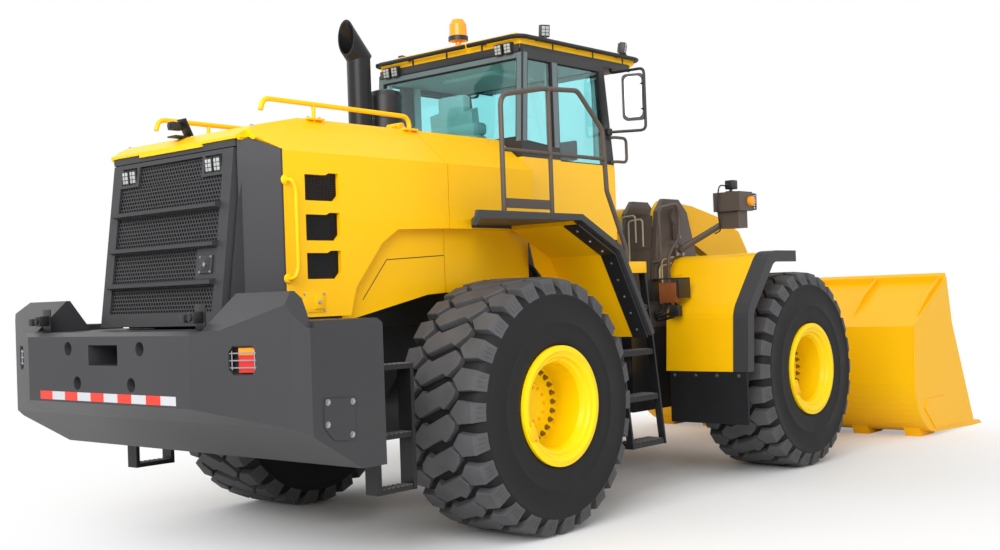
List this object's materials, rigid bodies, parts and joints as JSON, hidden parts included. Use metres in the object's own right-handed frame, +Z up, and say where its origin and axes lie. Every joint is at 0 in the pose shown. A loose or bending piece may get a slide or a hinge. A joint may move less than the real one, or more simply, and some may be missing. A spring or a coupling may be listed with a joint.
{
  "type": "articulated wheel loader",
  "caption": "Articulated wheel loader with a cab, engine hood, counterweight, Z-bar lift arms and a wide bucket that scoops and lifts loose material.",
  "frame": {"origin": "on the ground under the middle of the machine's length", "axes": "+X forward to the bucket, +Y to the left, +Z up"},
  "size_m": [10.4, 3.584, 4.075],
  "materials": {
    "yellow_paint": "gloss enamel",
    "dark_paint": "satin enamel",
    "black_paint": "satin enamel",
    "rail_paint": "satin enamel",
    "engine_grey": "cast",
    "tyre_rubber": "matte",
    "black_rubber": "matte",
    "tinted_glass": "tinted",
    "lamp_red": "moulded",
    "lamp_amber": "moulded",
    "seat_fabric": "woven",
    "black_plastic": "moulded",
    "bare_steel": "worn",
    "chrome_rod": "polished"
  },
  "bodies": {
    "rear_frame": {"rear_chassis": "dark_paint", "engine": "engine_grey", "rear_axle": "dark_paint", "counterweight": "dark_paint", "rear_steps": "dark_paint", "tail_lamps": "lamp_red", "cooling_pack": "black_paint", "cowl": "yellow_paint", "exhaust_stack": "black_paint", "precleaner": "black_plastic", "cab_shell": "yellow_paint", "cab_glass": "tinted_glass", "cab_roof": "yellow_paint", "roof_rail": "black_paint", "beacon": "lamp_amber", "cab_seat": "seat_fabric", "cab_console": "black_plastic", "fender_rear_left": "dark_paint", "fender_rear_right": "dark_paint", "rail_left": "rail_paint", "rail_right": "rail_paint", "ladder_left": "black_paint", "ladder_right": "black_paint", "mirrors": "black_plastic", "fender_liners": "yellow_paint"},
    "hood_body": {"hood": "yellow_paint", "hood_rear": "dark_paint", "hood_rails": "yellow_paint"},
    "grille_body": {"grille_door": "black_paint"},
    "door_body": {"cab_door": "yellow_paint", "door_glass": "tinted_glass"},
    "front_frame": {"front_chassis": "rail_paint", "front_axle": "dark_paint", "front_fenders": "yellow_paint", "fender_flares": "dark_paint", "fender_flaps": "black_rubber", "headlamps": "rail_paint"},
    "lift_arm_body": {"lift_arms": "yellow_paint"},
    "bellcrank_body": {"bellcrank": "yellow_paint"},
    "link_body": {"tilt_link": "yellow_paint"},
    "bucket_body": {"bucket": "yellow_paint", "cutting_edge": "bare_steel"},
    "lift_barrel_body": {"lift_barrels": "yellow_paint"},
    "lift_rod_body": {"lift_rods": "chrome_rod"},
    "tilt_barrel_body": {"tilt_barrel": "yellow_paint"},
    "tilt_rod_body": {"tilt_rod": "chrome_rod"},
    "steer_barrel_left_body": {"steer_barrel_left": "black_paint"},
    "steer_barrel_right_body": {"steer_barrel_right": "black_paint"},
    "steer_rod_left_body": {"steer_rod_left": "chrome_rod"},
    "steer_rod_right_body": {"steer_rod_right": "chrome_rod"},
    "wheel_rear_left": {"tyre_rear_left": "tyre_rubber", "rim_rear_left": "yellow_paint"},
    "wheel_rear_right": {"tyre_rear_right": "tyre_rubber", "rim_rear_right": "yellow_paint"},
    "wheel_front_left": {"tyre_front_left": "tyre_rubber", "rim_front_left": "yellow_paint"},
    "wheel_front_right": {"tyre_front_right": "tyre_rubber", "rim_front_right": "yellow_paint"}
  },
  "joints": [
    {"name": "steer", "type": "hinge", "parent": "rear_frame", "child": "front_frame", "pos_m": [-0.75, 0, 1], "axis": [0, 0, 1], "range_deg": [-36, 36]},
    {"name": "lift", "type": "hinge", "parent": "front_frame", "child": "lift_arm_body", "pos_m": [0.5, 0, 2.39], "axis": [0, -1, 0], "range_deg": [0, 74]},
    {"name": "tilt", "type": "hinge", "parent": "lift_arm_body", "child": "bucket_body", "pos_m": [3.19, 0, 0.34], "axis": [0, 1, 0], "range_deg": [-45, 119]},
    {"name": "crank", "type": "hinge", "parent": "lift_arm_body", "child": "bellcrank_body", "pos_m": [2.03, 0, 1.7], "axis": [0, -1, 0], "range_deg": [-15, 39]},
    {"name": "link", "type": "hinge", "parent": "bucket_body", "child": "link_body", "pos_m": [3.155, 0, 0.738], "axis": [0, -1, 0], "range_deg": [-39, 101.5]},
    {"name": "tilt_barrel_pivot", "type": "hinge", "parent": "lift_arm_body", "child": "tilt_barrel_body", "pos_m": [0.5, 0, 2.39], "axis": [0, -1, 0], "range_deg": [-3, 1.2]},
    {"name": "tilt_rod_slide", "type": "slide", "parent": "tilt_barrel_body", "child": "tilt_rod_body", "axis": [0.9993, 0, -0.0379], "range_m": [-0.4, 0.155]},
    {"name": "lift_barrel_pivot", "type": "hinge", "parent": "front_frame", "child": "lift_barrel_body", "pos_m": [0.4, 0, 1.06], "axis": [0, -1, 0], "range_deg": [0, 47.5]},
    {"name": "lift_rod_slide", "type": "slide", "parent": "lift_barrel_body", "child": "lift_rod_body", "axis": [0.9691, 0, 0.2467], "range_m": [0, 1.23]},
    {"name": "steer_barrel_left_pivot", "type": "hinge", "parent": "rear_frame", "child": "steer_barrel_left_body", "pos_m": [-1.58, 0.58, 1], "axis": [0, 0, 1], "range_deg": [-11, 11]},
    {"name": "steer_rod_left_slide", "type": "slide", "parent": "steer_barrel_left_body", "child": "steer_rod_left_body", "axis": [0.9955, -0.0952, 0], "range_m": [-0.315, 0.315]},
    {"name": "steer_barrel_right_pivot", "type": "hinge", "parent": "rear_frame", "child": "steer_barrel_right_body", "pos_m": [-1.58, -0.58, 1], "axis": [0, 0, 1], "range_deg": [-11, 11]},
    {"name": "steer_rod_right_slide", "type": "slide", "parent": "steer_barrel_right_body", "child": "steer_rod_right_body", "axis": [0.9955, 0.0952, 0], "range_m": [-0.315, 0.315]},
    {"name": "door", "type": "hinge", "parent": "rear_frame", "child": "door_body", "pos_m": [-1.57, 0.85, 2.9], "axis": [0, 0, 1], "range_deg": [0, 60]},
    {"name": "hood", "type": "hinge", "parent": "rear_frame", "child": "hood_body", "pos_m": [-2.925, 0, 3.006], "axis": [0, 1, 0], "range_deg": [0, 45]},
    {"name": "grille", "type": "hinge", "parent": "hood_body", "child": "grille_body", "pos_m": [-4.6838, 0.708, 2.19], "axis": [-0.1289, 0, -0.9917], "range_deg": [0, 95]},
    {"name": "wheel_rear_left_spin", "type": "hinge", "parent": "rear_frame", "child": "wheel_rear_left", "pos_m": [-2.65, 1.31, 0.91422], "axis": [0, 1, 0], "continuous": true},
    {"name": "wheel_rear_right_spin", "type": "hinge", "parent": "rear_frame", "child": "wheel_rear_right", "pos_m": [-2.65, -1.31, 0.91422], "axis": [0, 1, 0], "continuous": true},
    {"name": "wheel_front_left_spin", "type": "hinge", "parent": "front_frame", "child": "wheel_front_left", "pos_m": [1.15, 1.31, 0.91422], "axis": [0, 1, 0], "continuous": true},
    {"name": "wheel_front_right_spin", "type": "hinge", "parent": "front_frame", "child": "wheel_front_right", "pos_m": [1.15, -1.31, 0.91422], "axis": [0, 1, 0], "continuous": true}
  ],
  "couplings": [
    {"joint": "crank", "follows": "tilt", "ratio": 0.318},
    {"joint": "link", "follows": "tilt", "ratio": 0.846},
    {"joint": "tilt_barrel_pivot", "follows": "tilt", "ratio": -0.0236},
    {"joint": "tilt_rod_slide", "follows": "tilt", "m_per_rad": -0.189},
    {"joint": "lift_barrel_pivot", "follows": "lift", "ratio": 0.63645},
    {"joint": "lift_rod_slide", "follows": "lift", "m_per_rad": 0.94782},
    {"joint": "steer_barrel_left_pivot", "follows": "steer", "ratio": 0.23832},
    {"joint": "steer_barrel_right_pivot", "follows": "steer", "ratio": 0.23832},
    {"joint": "steer_rod_left_slide", "follows": "steer", "m_per_rad": -0.49425},
    {"joint": "steer_rod_right_slide", "follows": "steer", "m_per_rad": 0.49425}
  ]
}
